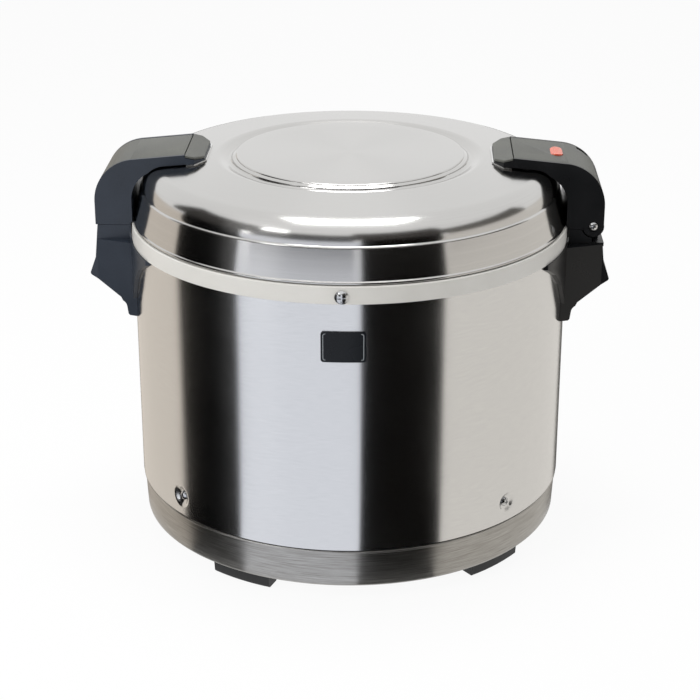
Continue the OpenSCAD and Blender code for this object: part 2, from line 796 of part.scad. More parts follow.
// ---------- arms ----------

// Full outline of an arm in u and z, without its nose
module arm_outline() {
    difference() {
        union() {
            polygon([
                [nose_seam, bend_c[1]], [nose_seam, z_nose], bend_start,
                [bend_start[0], bend_c[1]]
            ]);
            intersection() {
                translate(bend_c) circle(r = bend_r);
                translate([bend_c[0] - 0.5, bend_c[1] - 0.5]) square([bend_r + 1, bend_r + 1]);
            }
            translate([arm_in, z_split]) square([arm_out - arm_in, bend_c[1] - z_split + 0.5]);
            polygon([
                [nose_seam, bend_c[1]], [bend_c[0] + 0.5, bend_c[1]], [arm_in + 0.5, bend_c[1]],
                [arm_in + 0.5, z_split + 6], [arm_in, z_split + 6], [arm_in - 20, bend_c[1] - 2]
            ]);
        }
        translate(inner_bend_c) circle(r = inner_bend_r);
        polygon([
            [nose_seam - 10, z_split - 5], [arm_in, z_split - 5], [arm_in, inner_bend_c[1]],
            [inner_bend_c[0], inner_bend_c[1]], [inner_bend_c[0], inner_bend_c[1] + inner_bend_r],
            [nose_seam - 10, inner_bend_c[1] + inner_bend_r]
        ]);
    }
}

// The hollow of an arm, open on top where its panel lies
module arm_cavity_outline() {
    t = 3;
    difference() {
        union() {
            polygon([
                [nose_seam - 1, inner_bend_c[1]], [nose_seam - 1, z_nose + 5],
                [bend_start[0], z_arm_top + 5], [bend_start[0], inner_bend_c[1]]
            ]);
            intersection() {
                translate(bend_c) circle(r = bend_r + 1);
                translate([bend_c[0] - 0.5, z_panel_end]) square([bend_r + 2, bend_r + 1]);
            }
            translate([arm_in + t, z_split + t])
                square([arm_out - arm_in - 2 * t, z_panel_end - z_split - t + 0.5]);
            translate([arm_in - 15, inner_bend_c[1]]) square([20, z_panel_end - inner_bend_c[1]]);
            translate([bend_c[0] - 1, z_panel_end - 0.5]) square([16, 16]);
        }
        translate(inner_bend_c) circle(r = inner_bend_r + t);
        polygon([
            [nose_seam - 10, z_split - 5], [arm_in + t, z_split - 5], [arm_in + t, inner_bend_c[1]],
            [inner_bend_c[0], inner_bend_c[1]], [inner_bend_c[0], inner_bend_c[1] + inner_bend_r + 1],
            [nose_seam - 10, inner_bend_c[1] + inner_bend_r + 1]
        ]);
        intersection() {
            translate(bend_c) difference() {
                circle(r = bend_r + 2);
                circle(r = bend_r - t);
            }
            translate([bend_c[0], z_split]) square([60, z_panel_end - z_split]);
        }
    }
}

// The black base of the nose, under its grey cap, in u and z
module nose_outline(top_drop) {
    polygon([
        [nose_seam, z_shoulder - 10], [nose_seam, z_nose - top_drop],
        [nose_tip, z_tip - top_drop], [nose_tip, z_shoulder - 10]
    ]);
}

// Plan of a nose with its two chamfered corners, grown by g
module nose_plan(g) {
    cut_u = 7;
    cut_y = 10;
    polygon([
        [nose_seam + 2, -arm_hw - g], [nose_tip + cut_u, -arm_hw - g], [nose_tip - g, -arm_hw + cut_y],
        [nose_tip - g, arm_hw - cut_y], [nose_tip + cut_u, arm_hw + g], [nose_seam + 2, arm_hw + g]
    ]);
}

cap_t = 2.2;

// The arm moulding common to both sides, on the +X side
module arm_moulding() {
    difference() {
        union() {
            across(arm_hw) arm_outline();
            intersection() {
                across(arm_hw) nose_outline(cap_t + seat);
                linear_extrude(z_nose + 20) nose_plan(0);
            }
        }
        difference() {
            across(arm_hw - handle_wall) arm_cavity_outline();
            lid_envelope(foot_plate_t + seat + 1.8);
        }
        lid_envelope(foot_plate_t + seat);
        cylinder_at(rim_r + 0.4, z_rim - 6, z_rim + 4);
        cylinder_at(collar_r + move_gap, z_split - 1, z_collar_top + move_gap);
    }
}

module arm_screw_holes(r) {
    for (s = [-1, 1], y = [-19, 19])
        translate([s * (nose_seam + 9), y, z_shoulder - 12]) cylinder(h = 30, r = r);
}

module arm_screws() {
    z_head = annulus_z(norm([nose_seam + 9, 19])) - lid_t - 0.6;
    color("#b0b2b3") for (s = [-1, 1], y = [-19, 19])
        translate([s * (nose_seam + 9), y, z_head]) rotate([180, 0, 0]) screw(3.6, 1.9, 2, 4.6);
}

module left_arm() {
    color("#33373d") difference() {
        mirror([1, 0, 0]) arm_moulding();
        arm_screw_holes(2.05);
        // way down for the hook, and sockets for the plate's pin
        translate([-(hook_u + hook_t + 3), -hook_hw - 0.7, z_split - 1])
            cube([hook_t + hook_reach + 4.1, 2 * hook_hw + 1.4, 8]);
        translate([-latch_u, 0, latch_z]) y_rod(latch_pin_r + 0.05, -arm_hw + 1.2, arm_hw - 1.2);
    }
}

module right_arm() {
    in_y = knuckle_hw + 0.5;
    color("#17181a") difference() {
        union() {
            arm_moulding();
            // ears round the hinge pin, in front of and behind the knuckle
            for (s = [0, 1]) mirror([0, s, 0]) {
                translate([hinge_u, 0, hinge_z]) y_rod(ear_r, in_y, arm_hw);
                translate([0, (in_y + arm_hw - 1) / 2, 0]) across((arm_hw - 1 - in_y) / 2) polygon([
                    [collar_r + move_gap, z_split + 0.2], [collar_r + move_gap, z_collar_top + move_gap],
                    [arm_in + 1, z_collar_top + move_gap], [arm_in + 1, z_split + 12],
                    [arm_out - 1, z_split + 12], [arm_out - 1, z_split + 0.2]
                ]);
            }
        }
        // room for the knuckle, and a window in the outer wall
        translate([hinge_u, 0, hinge_z]) y_rod(knuckle_r + 0.5, -in_y, in_y);
        translate([hinge_u - 4.4, -in_y, z_split - 2]) cube([40, 2 * in_y, hinge_z + 9.6 - z_split + 2]);
        translate([hinge_u, 0, hinge_z]) y_rod(hinge_pin_r + 0.02, -arm_hw + 2.2, arm_hw - 2.2);
        translate([hinge_u, 0, hinge_z]) y_rod(1.6, -arm_hw - 1, arm_hw + 1);
        for (s = [0, 1]) mirror([0, s, 0])
            translate([hinge_u, 0, hinge_z]) y_rod(4.4, arm_hw - 0.9, arm_hw + 1);
        arm_screw_holes(2.05);
    }
}

// Grey caps on the two noses
module nose_caps() {
    color("#6f7069") for (s = [0, 1]) mirror([s, 0, 0])
        difference() {
            intersection() {
                across(arm_hw - 0.3) difference() {
                    nose_outline(0);
                    nose_outline(cap_t);
                }
                linear_extrude(z_nose + 20) nose_plan(-0.3);
            }
            translate([nose_seam - 0.1, -arm_hw, z_shoulder]) cube([5, handle_w, 30]);
            lid_envelope(foot_plate_t + seat);
        }
}

// Polished plates under the noses, which follow the lid's surface
module nose_plates() {
    color("#d4d5d5") for (s = [0, 1]) mirror([s, 0, 0])
        intersection() {
            difference() {
                lid_envelope(foot_plate_t);
                lid_envelope(seat / 2);
            }
            linear_extrude(z_nose + 20) intersection() {
                nose_plan(1.4);
                translate([nose_tip - 3, -60]) square([nose_len + 2, 120]);
            }
        }
}

// Plate outline that follows the top of the arm and its bend
module panel_outline() {
    gap = move_gap + 0.2;
    top = [nose_seam + gap, z_nose - gap * tan(arm_slope)];
    rise = z_panel_end + gap - bend_c[1];
    inner_r = bend_r - panel_t;
    polygon(concat(
        [top],
        arc(bend_c[0], bend_c[1], bend_r, 90 - arm_slope, asin(rise / bend_r), 24),
        arc(bend_c[0], bend_c[1], inner_r, asin(rise / inner_r), 90 - arm_slope, 24),
        [top - panel_t * arm_n]
    ));
}

module right_top_panel() {
    color("#6f7069") difference() {
        across(panel_hw) panel_outline();
        lamp_window(0);
        // small notch at the rear corner of the bend
        translate([bend_c[0] + 15, panel_hw - 5.5, z_arm_top - 14]) cube([9, 10, 20]);
    }
}

lamp_u = arm_out - 37;

module lamp_window(g) {
    r = lamp_w / 2 - g;
    half = lamp_len / 2 - lamp_w / 2;
    translate([lamp_u, 0, z_arm_top - 12]) linear_extrude(20) union() {
        translate([-r, -half]) square([2 * r, 2 * half]);
        for (y = [-half, half]) translate([0, y]) circle(r = r);
    }
}

// Amber lens: a stepped oblong body with a domed top
module lamp_lens() {
    dome = 14;
    color("#e0562e") intersection() {
        lamp_window(seat);
        translate([lamp_u, 0, z_arm_top + 1.8 - dome]) rotate([90, 0, 0])
            cylinder(h = lamp_len + 2, r = dome, center = true);
        translate([lamp_u - 20, -30, z_arm_top - 4]) cube([40, 60, 20]);
    }
}

module lamp_holder() {
    z_top = z_arm_top - 4 - seat;
    color("#d9d4c6") translate([lamp_u - 5, -9, z_top - 2.2]) cube([11, 18, 2.2]);
}

// ---------- hinge ----------

module hinge_pin() {
    color("#a9abad") translate([hinge_u, 0, hinge_z]) difference() {
        y_rod(hinge_pin_r, -arm_hw + 2.3, arm_hw - 2.3);
        y_rod(1.55, -arm_hw - 1, -arm_hw + 12);
        y_rod(1.55, arm_hw - 12, arm_hw + 1);
    }
}

module hinge_screws() {
    color("#d4d5d5") for (s = [0, 1]) mirror([0, s, 0])
        translate([hinge_u, -arm_hw + 0.9 - seat / 2, hinge_z]) rotate([90, 0, 0]) screw(3.6, 1.9, 1.5, 8);
}

// ---------- latch, built at its place on the -X side ----------

module release_plate() {
    color("#6f7069") mirror([1, 0, 0]) across(panel_hw) panel_outline();
}

module latch_hook() {
    boss_r = latch_pin_r + 2.4;
    z_top = z_arm_top - panel_t - 0.2 - seat;
    color("#8f9193") mirror([1, 0, 0]) difference() {
        union() {
            across(hook_hw) {
                translate([hook_u, z_hook]) square([hook_t, latch_z - z_hook]);
                polygon([
                    [hook_u + eps, z_hook], [hook_u - hook_reach + 0.8, z_hook + 1],
                    [hook_u - hook_reach, z_hook + 2.6], [hook_u + eps, z_hook + 2.6]
                ]);
                translate([latch_u, latch_z]) circle(r = boss_r);
            }
            // pad that carries the release plate
            across(hook_hw) polygon([
                [latch_u - 2, latch_z], [bend_c[0] + 4, z_top - 1.2], [bend_c[0] + 4, z_top],
                [bend_c[0] + 10, z_top - 1.2], [latch_u + 2, latch_z + 3]
            ]);
        }
        translate([latch_u, 0, latch_z]) y_rod(latch_pin_r + 0.06, -20, 20);
    }
}

module latch_pin() {
    color("#b0b2b3") translate([-latch_u, 0, latch_z])
        y_rod(latch_pin_r, -arm_hw + 1.3, arm_hw - 1.3);
}

module latch_spring() {
    r_wire = 0.8;
    r_coil = latch_pin_r + 0.3 + r_wire;
    color("#c3c5c7") translate([-latch_u, 0, latch_z]) {
        for (i = [0:4])
            translate([0, hook_hw + 2 + i * 1.7, 0]) rotate([90, 0, 0])
                rotate_extrude() translate([r_coil, 0]) circle(r = r_wire + 0.1, $fn = 24);
    }
}

outer_shell();
top_collar();
collar_screws();
shell_screws();
badge_plate();
base_ring();
base_plate();
feet();
foot_screws();
heated_well();
inner_pot();
insulation_jacket();
side_heater();
bottom_heater();
thermostat();
thermal_fuse();
terminal_block();
leads();
inlet_housing();
inlet_pins();
left_lower_grip();
right_lower_grip();
grip_back_plates();
grip_screws();
latch_catch();
catch_screws();
lid_shell();
lid_liner();
lid_insulation();
lid_heater();
lid_gasket();
inner_lid();
inner_lid_stud();
inner_lid_knob();
left_arm();
right_arm();
nose_caps();
nose_plates();
right_top_panel();
lamp_lens();
lamp_holder();
arm_screws();
hinge_pin();
hinge_screws();
release_plate();
latch_hook();
latch_pin();
latch_spring();
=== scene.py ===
import math

import bmesh
import bpy
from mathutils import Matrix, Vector

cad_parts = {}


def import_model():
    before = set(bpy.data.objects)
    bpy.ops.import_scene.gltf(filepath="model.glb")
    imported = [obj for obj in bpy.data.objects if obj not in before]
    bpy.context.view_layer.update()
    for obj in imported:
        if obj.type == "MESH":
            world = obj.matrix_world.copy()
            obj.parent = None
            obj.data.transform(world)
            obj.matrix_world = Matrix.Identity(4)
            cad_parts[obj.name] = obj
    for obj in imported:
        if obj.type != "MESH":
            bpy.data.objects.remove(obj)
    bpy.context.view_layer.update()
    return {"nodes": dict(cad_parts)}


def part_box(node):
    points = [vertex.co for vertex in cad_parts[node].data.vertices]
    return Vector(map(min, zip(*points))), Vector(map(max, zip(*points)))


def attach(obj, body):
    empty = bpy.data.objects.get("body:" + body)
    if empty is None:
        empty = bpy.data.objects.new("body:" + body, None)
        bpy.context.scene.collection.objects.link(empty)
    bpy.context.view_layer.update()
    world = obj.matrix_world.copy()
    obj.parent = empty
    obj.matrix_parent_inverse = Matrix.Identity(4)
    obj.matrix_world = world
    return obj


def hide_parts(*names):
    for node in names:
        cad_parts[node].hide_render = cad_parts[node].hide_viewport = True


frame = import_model()

MM = 0.001
nodes = frame["nodes"]


# ---------- helpers ----------

def linear(code):
    """An sRGB hex colour as linear RGBA."""
    channels = [int(code[i:i + 2], 16) / 255 for i in (1, 3, 5)]
    return [c / 12.92 if c <= 0.04045 else ((c + 0.055) / 1.055) ** 2.4 for c in channels] + [1]


def add(tree, kind, settings=None, **links):
    """Adds a node: settings are properties, colour stops and socket values, links feed its inputs."""
    node = tree.nodes.new(kind)
    for key, value in (settings or {}).items():
        if key == "stops":
            elements = node.color_ramp.elements
            while len(elements) < len(value):
                elements.new(0.5)
            for element, (place, code) in zip(elements, value):
                element.position = place
                element.color = linear(code)
        elif isinstance(key, str) and hasattr(node, key):
            setattr(node, key, value)
        else:
            node.inputs[key].default_value = value
    for key, source in links.items():
        name = key.replace("_", " ")
        socket = node.inputs[name] if name in node.inputs else node.inputs[int(key[1:])]
        tree.links.new(source, socket)
    return node


def material(name):
    """An empty node material and its tree, with the output's surface socket."""
    made = bpy.data.materials.new(name)
    made.use_nodes = True
    made.node_tree.nodes.clear()
    output = made.node_tree.nodes.new("ShaderNodeOutputMaterial")
    return made, made.node_tree, output.inputs["Surface"]


def seen_rays(tree):
    """1 for rays that reach the eye straight, by reflection or through glass, else 0."""
    rays = add(tree, "ShaderNodeLightPath")
    seen = add(tree, "ShaderNodeMath", {"operation": "MAXIMUM"}, i0=rays.outputs["Is Camera Ray"],
               i1=rays.outputs["Is Glossy Ray"])
    seen = add(tree, "ShaderNodeMath", {"operation": "MAXIMUM"}, i0=seen.outputs["Value"],
               i1=rays.outputs["Is Transmission Ray"])
    return seen.outputs["Value"]


def scaled(tree, x, y, z):
    """Object coordinates in metres multiplied per axis."""
    place = add(tree, "ShaderNodeTexCoord").outputs["Object"]
    return add(tree, "ShaderNodeMapping", {"Scale": (x, y, z)}, Vector=place).outputs["Vector"]


def per_mm(size):
    """Texture scale at which one cell of noise measures size millimetres."""
    return 1 / (size * MM)


def paint(node_name, made):
    """Gives a CAD node its material."""
    data = nodes[node_name].data
    data.materials.clear()
    data.materials.append(made)


def new_piece(name, mesh, made, body, slot, *replaced):
    """A mesh piece that rides on a body and may stand for CAD nodes."""
    piece = bpy.data.objects.new(name, mesh)
    bpy.context.scene.collection.objects.link(piece)
    mesh.materials.clear()
    mesh.materials.append(made)
    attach(piece, body)
    if replaced:
        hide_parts(*replaced)
    return piece


def smooth(mesh, angle=None):
    """Smooth shading, with edges sharper than angle kept crisp."""
    for face in mesh.polygons:
        face.use_smooth = True
    if angle is not None:
        mesh.set_sharp_from_angle(angle=math.radians(angle))
    return mesh


def arc(cx, cz, r, a0, a1, n):
    """Points on an arc in r and z, in metres, from a0 to a1 degrees."""
    turns = [math.radians(a0 + (a1 - a0) * i / n) for i in range(n + 1)]
    return [(cx + r * math.cos(t), cz + r * math.sin(t)) for t in turns]


def lathe(name, outline, steps=256, sharp=30):
    """A closed outline in r and z turned round the vertical axis."""
    mesh = bpy.data.meshes.new(name)
    bm = bmesh.new()
    rings = []
    for r, z in outline:
        if r < 1e-6:
            rings.append([bm.verts.new((0, 0, z))])
            continue
        turns = [2 * math.pi * i / steps for i in range(steps)]
        rings.append([bm.verts.new((r * math.cos(t), r * math.sin(t), z)) for t in turns])
    for low, high in zip(rings, rings[1:] + rings[:1]):
        if len(low) == 1 and len(high) == 1:
            continue
        for i in range(steps):
            j = (i + 1) % steps
            corners = [low[i % len(low)], low[j % len(low)], high[j % len(high)], high[i % len(high)]]
            bm.faces.new(list(dict.fromkeys(corners)))
    bmesh.ops.recalc_face_normals(bm, faces=bm.faces)
    bm.to_mesh(mesh)
    bm.free()
    return smooth(mesh, sharp)


# ---------- sizes, from the frame ----------

shell_low, shell_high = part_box("outer_shell")
collar_low, collar_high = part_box("top_collar")
ring_low, ring_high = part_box("base_ring")
lid_low, lid_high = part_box("lid_shell")
screw_low, screw_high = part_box("shell_screws")

body_r = shell_high.x
collar_r = collar_high.x
rim_r = lid_high.x
z_rim = lid_low.z
z_disc = lid_high.z


# ---------- materials ----------

def satin_steel():
    """Stainless sheet with a fine hairline round the drum: streaks its reflections upright."""
    made, tree, surface = material("stainless_hairline_sheet")
    grain = add(tree, "ShaderNodeTexNoise", {"Scale": 1, "Detail": 3, "Roughness": 0.6},
                Vector=scaled(tree, per_mm(9), per_mm(9), per_mm(0.5)))
    cloud = add(tree, "ShaderNodeTexNoise", {"Scale": per_mm(60), "Detail": 2},
                Vector=scaled(tree, 1, 1, 1))
    colour = add(tree, "ShaderNodeValToRGB", {"stops": [(0.25, "#d4d4d4"), (0.75, "#dcdcdb")]},
                 Fac=grain.outputs["Fac"]).outputs["Color"]
    rough = add(tree, "ShaderNodeMapRange",
                {"From Min": 0.1, "From Max": 0.9, "To Min": 0.17, "To Max": 0.22},
                Value=cloud.outputs["Fac"])
    bump = add(tree, "ShaderNodeBump", {"Strength": 0.03, "Distance": 0.01 * MM},
               Height=grain.outputs["Fac"])
    tangent = add(tree, "ShaderNodeTangent", {"direction_type": "RADIAL", "axis": "Z"})
    shader = add(tree, "ShaderNodeBsdfPrincipled",
                 {"Metallic": 1, "Anisotropic": 0.95, "Anisotropic Rotation": 0.25},
                 Base_Color=colour, Roughness=rough.outputs["Result"], Normal=bump.outputs["Normal"],
                 Tangent=tangent.outputs["Tangent"])
    tree.links.new(shader.outputs["BSDF"], surface)
    return made


def spun_steel():
    """Stainless lid, satin polished on a lathe: rings too fine to count, and faint radial sheen."""
    made, tree, surface = material("stainless_spun_lid")
    place = add(tree, "ShaderNodeTexCoord").outputs["Object"]
    flat = add(tree, "ShaderNodeMapping", {"Scale": (1, 1, 0)}, Vector=place)
    radius = add(tree, "ShaderNodeVectorMath", {"operation": "LENGTH"}, i0=flat.outputs["Vector"])
    along = add(tree, "ShaderNodeCombineXYZ", {}, X=radius.outputs["Value"])
    rings = add(tree, "ShaderNodeTexNoise", {"Scale": per_mm(0.9), "Detail": 4, "Roughness": 0.7},
                Vector=along.outputs["Vector"])
    colour = add(tree, "ShaderNodeValToRGB", {"stops": [(0.3, "#c4c3c1"), (0.7, "#cdccca")]},
                 Fac=rings.outputs["Fac"]).outputs["Color"]
    bump = add(tree, "ShaderNodeBump", {"Strength": 0.05, "Distance": 0.02 * MM},
               Height=rings.outputs["Fac"])
    tangent = add(tree, "ShaderNodeTangent", {"direction_type": "RADIAL", "axis": "Z"})
    shader = add(tree, "ShaderNodeBsdfPrincipled",
                 {"Metallic": 1, "Roughness": 0.17, "Anisotropic": 0.85, "Anisotropic Rotation": 0.25},
                 Base_Color=colour, Normal=bump.outputs["Normal"], Tangent=tangent.outputs["Tangent"])
    tree.links.new(shader.outputs["BSDF"], surface)
    return made


def brushed_ring_steel():
    """Stainless base ring brushed with a coarse belt: dark and light streaks run round it."""
    made, tree, surface = material("stainless_belt_brushed")
    streak = add(tree, "ShaderNodeTexNoise", {"Scale": 1, "Detail": 5, "Roughness": 0.7},
                 Vector=scaled(tree, per_mm(26), per_mm(26), per_mm(0.55)))
    colour = add(tree, "ShaderNodeValToRGB",
                 {"stops": [(0.3, "#85827d"), (0.5, "#a5a39f"), (0.72, "#c4c3c0")]},
                 Fac=streak.outputs["Fac"]).outputs["Color"]
    rough = add(tree, "ShaderNodeMapRange",
                {"From Min": 0.3, "From Max": 0.7, "To Min": 0.3, "To Max": 0.42},
                Value=streak.outputs["Fac"])
    bump = add(tree, "ShaderNodeBump", {"Strength": 0.2, "Distance": 0.05 * MM},
               Height=streak.outputs["Fac"])
    tangent = add(tree, "ShaderNodeTangent", {"direction_type": "RADIAL", "axis": "Z"})
    shader = add(tree, "ShaderNodeBsdfPrincipled",
                 {"Metallic": 1, "Anisotropic": 0.7, "Anisotropic Rotation": 0.25},
                 Base_Color=colour, Roughness=rough.outputs["Result"], Normal=bump.outputs["Normal"],
                 Tangent=tangent.outputs["Tangent"])
    tree.links.new(shader.outputs["BSDF"], surface)
    return made


def worn_metal(name, low, high, roughness, grain_mm):
    """A plain metal finish, with its colour and gloss broken up by a fine grain."""
    made, tree, surface = material(name)
    grain = add(tree, "ShaderNodeTexNoise", {"Scale": per_mm(grain_mm), "Detail": 4},
                Vector=scaled(tree, 1, 1, 1))
    colour = add(tree, "ShaderNodeValToRGB", {"stops": [(0.3, low), (0.7, high)]},
                 Fac=grain.outputs["Fac"]).outputs["Color"]
    rough = add(tree, "ShaderNodeMapRange",
                {"From Min": 0.3, "From Max": 0.7, "To Min": roughness - 0.04, "To Max": roughness + 0.05},
                Value=grain.outputs["Fac"])
    shader = add(tree, "ShaderNodeBsdfPrincipled", {"Metallic": 1},
                 Base_Color=colour, Roughness=rough.outputs["Result"])
    tree.links.new(shader.outputs["BSDF"], surface)
    return made


def moulded(name, low, high, roughness, grain_mm, depth, coat=0.0, shine=0.5):
    """A moulded plastic or rubber: spark-eroded grain from the mould, slight colour drift."""
    made, tree, surface = material(name)
    place = scaled(tree, 1, 1, 1)
    grain = add(tree, "ShaderNodeTexNoise", {"Scale": per_mm(grain_mm), "Detail": 2, "Roughness": 0.6},
                Vector=place)
    drift = add(tree, "ShaderNodeTexNoise", {"Scale": per_mm(35), "Detail": 2}, Vector=place)
    mixed = add(tree, "ShaderNodeMath", {"operation": "ADD"}, i0=grain.outputs["Fac"],
                i1=drift.outputs["Fac"])
    half = add(tree, "ShaderNodeMath", {"operation": "MULTIPLY", 1: 0.5}, i0=mixed.outputs["Value"])
    colour = add(tree, "ShaderNodeValToRGB", {"stops": [(0.35, low), (0.65, high)]},
                 Fac=half.outputs["Value"]).outputs["Color"]
    rough = add(tree, "ShaderNodeMapRange",
                {"From Min": 0.3, "From Max": 0.7, "To Min": roughness - 0.05, "To Max": roughness + 0.05},
                Value=drift.outputs["Fac"])
    bump = add(tree, "ShaderNodeBump", {"Strength": 0.5, "Distance": depth * MM},
               Height=grain.outputs["Fac"])
    shader = add(tree, "ShaderNodeBsdfPrincipled",
                 {"IOR": 1.5, "Specular IOR Level": shine, "Coat Weight": coat,
                  "Coat Roughness": 0.12},
                 Base_Color=colour, Roughness=rough.outputs["Result"], Normal=bump.outputs["Normal"])
    tree.links.new(shader.outputs["BSDF"], surface)
    return made


def amber_acrylic():
    """Clear orange acrylic lens over a lamp: deep colour, hard gloss, ribs moulded inside."""
    made, tree, surface = material("orange_acrylic")
    ribs = add(tree, "ShaderNodeTexWave", {"Scale": per_mm(12), "bands_direction": "Y"},
               Vector=scaled(tree, 1, 1, 1))
    colour = add(tree, "ShaderNodeValToRGB", {"stops": [(0.0, "#c2452c"), (1.0, "#dd7d62")]},
                 Fac=ribs.outputs["Fac"]).outputs["Color"]
    shader = add(tree, "ShaderNodeBsdfPrincipled",
                 {"IOR": 1.49, "Roughness": 0.12, "Subsurface Weight": 0.3, "Subsurface Scale": 0.002,
                  "Emission Strength": 0.08}, Base_Color=colour, Emission_Color=colour)
    tree.links.new(shader.outputs["BSDF"], surface)
    return made


def felt():
    """Pressed mineral-fibre felt: matt, with matted fibres."""
    made, tree, surface = material("mineral_felt")
    fibre = add(tree, "ShaderNodeTexNoise", {"Scale": per_mm(3), "Detail": 6, "Roughness": 0.75},
                Vector=scaled(tree, 1, 1, 1))
    colour = add(tree, "ShaderNodeValToRGB", {"stops": [(0.3, "#cfc5a4"), (0.7, "#efe8cf")]},
                 Fac=fibre.outputs["Fac"]).outputs["Color"]
    bump = add(tree, "ShaderNodeBump", {"Strength": 0.8, "Distance": 0.6 * MM},
               Height=fibre.outputs["Fac"])
    shader = add(tree, "ShaderNodeBsdfPrincipled", {"Roughness": 0.95, "Sheen Weight": 0.2},
                 Base_Color=colour, Normal=bump.outputs["Normal"])
    tree.links.new(shader.outputs["BSDF"], surface)
    return made


drum_steel = satin_steel()
lid_steel = spun_steel()
ring_steel = brushed_ring_steel()
# Zinc plate: even, slightly cool shine.
bright_zinc = worn_metal("zinc_plated_steel", "#b9babb", "#d6d7d8", 0.2, 1.5)
# Spring steel: darker and a little duller, from cold rolling.
spring_steel = worn_metal("spring_steel", "#9d9fa1", "#bcbec0", 0.27, 1.2)
# Polished stainless: nearly a mirror.
polished_plate = worn_metal("polished_stainless", "#d9d9d8", "#e6e6e5", 0.1, 4)
# Pressed sheet aluminium: soft satin.
pressed_aluminium = worn_metal("pressed_aluminium", "#b9bbbd", "#cfd0d1", 0.36, 2.5)
# Cast aluminium: matt, grainy from the mould.
cast_aluminium = worn_metal("cast_aluminium", "#97999b", "#b4b6b7", 0.5, 0.9)
# Turned brass: yellow, with a fine tool grain.
pin_brass = worn_metal("turned_brass", "#bb9a55", "#d3b673", 0.25, 0.8)
# Polypropylene, pale and silvery, satin from the mould.
collar_plastic = moulded("moulded_pp_pale_silver", "#d3d1cb", "#dddbd6", 0.42, 0.35, 0.01)
# Black lacquer on a plate: dark, with a soft gloss.
badge_black = moulded("gloss_black_lacquer", "#0c0f13", "#13171c", 0.24, 0.8, 0.002, shine=0.22)
# Moulded rubber: matt, slightly pebbled.
foot_rubber = moulded("moulded_epdm_rubber", "#161718", "#222324", 0.6, 0.5, 0.04)
# Phenolic mouldings of the handles: dark, hard, low sheen. Both handles are the same black phenolic; the
# left ones are painted lighter and bluer, as painted light from the lamp on that side.
slate_plastic = moulded("moulded_phenolic_painted_lit", "#272d36", "#303742", 0.36, 0.45, 0.02, shine=0.35)
black_plastic = moulded("moulded_phenolic_black", "#0b0c0e", "#131416", 0.32, 0.45, 0.02, shine=0.35)
# ABS with a spark-eroded grain, drawn coarser than it is so that it shows.
grey_plastic = moulded("spark_textured_grey_abs", "#40413d", "#62635d", 0.48, 0.9, 0.16)
# Heat-proof plastics of the inlet and knob: plain black, satin.
inlet_black = moulded("moulded_pbt_black", "#1a1b1c", "#242526", 0.45, 0.5, 0.02)
knob_plastic = moulded("moulded_knob_black", "#1f2022", "#2b2c2e", 0.4, 0.5, 0.02)
# Glazed steatite: smooth, creamy.
ceramic = moulded("glazed_steatite", "#e6e2d6", "#f1eee5", 0.25, 1.0, 0.005)
# Cast silicone: waxy, matt.
silicone = moulded("cast_silicone", "#c3c0b6", "#d2cfc6", 0.5, 0.7, 0.01)
# Undyed nylon: ivory.
holder_plastic = moulded("moulded_nylon_natural", "#d2cdbf", "#dfdacd", 0.45, 0.6, 0.01)
# Mica-faced band heater: brown, flaky.
heater_band = moulded("mica_faced_band", "#a9793a", "#c9924c", 0.4, 2.2, 0.03)
# Non-stick coating: dark grey with a thin sheen.
pot_coating = moulded("ptfe_nonstick", "#3a3c3e", "#4b4d50", 0.38, 0.5, 0.02, coat=0.2)
lens_orange = amber_acrylic()
mineral_felt = felt()

PAINT = {
    bright_zinc: ["collar_screws", "shell_screws", "foot_screws", "grip_screws", "catch_screws",
                  "arm_screws", "hinge_screws", "base_plate", "grip_back_plates", "inner_lid_stud"],
    spring_steel: ["latch_catch", "latch_hook", "latch_pin", "latch_spring", "hinge_pin"],
    polished_plate: ["nose_plates"],
    badge_black: ["badge_plate"],
    foot_rubber: ["feet"],
    pressed_aluminium: ["heated_well", "lid_liner", "inner_lid"],
    pot_coating: ["inner_pot"],
    cast_aluminium: ["bottom_heater", "thermostat"],
    mineral_felt: ["insulation_jacket", "lid_insulation"],
    heater_band: ["side_heater"],
    ceramic: ["thermal_fuse", "terminal_block"],
    silicone: ["leads", "lid_heater", "lid_gasket"],
    inlet_black: ["inlet_housing"],
    pin_brass: ["inlet_pins"],
    # Left handles: the black phenolic with painted light, lighter and bluer.
    slate_plastic: ["left_lower_grip", "left_arm"],
    black_plastic: ["right_lower_grip", "right_arm"],
    grey_plastic: ["nose_caps", "right_top_panel", "release_plate"],
    knob_plastic: ["inner_lid_knob"],
    holder_plastic: ["lamp_holder"],
    lens_orange: ["lamp_lens"],
    drum_steel: ["outer_shell"],
    collar_plastic: ["top_collar"],
    ring_steel: ["base_ring"],
    lid_steel: ["lid_shell"],
}
for made, names in PAINT.items():
    for node_name in names:
        paint(node_name, made)


# ---------- lid shell: one smooth spun surface ----------

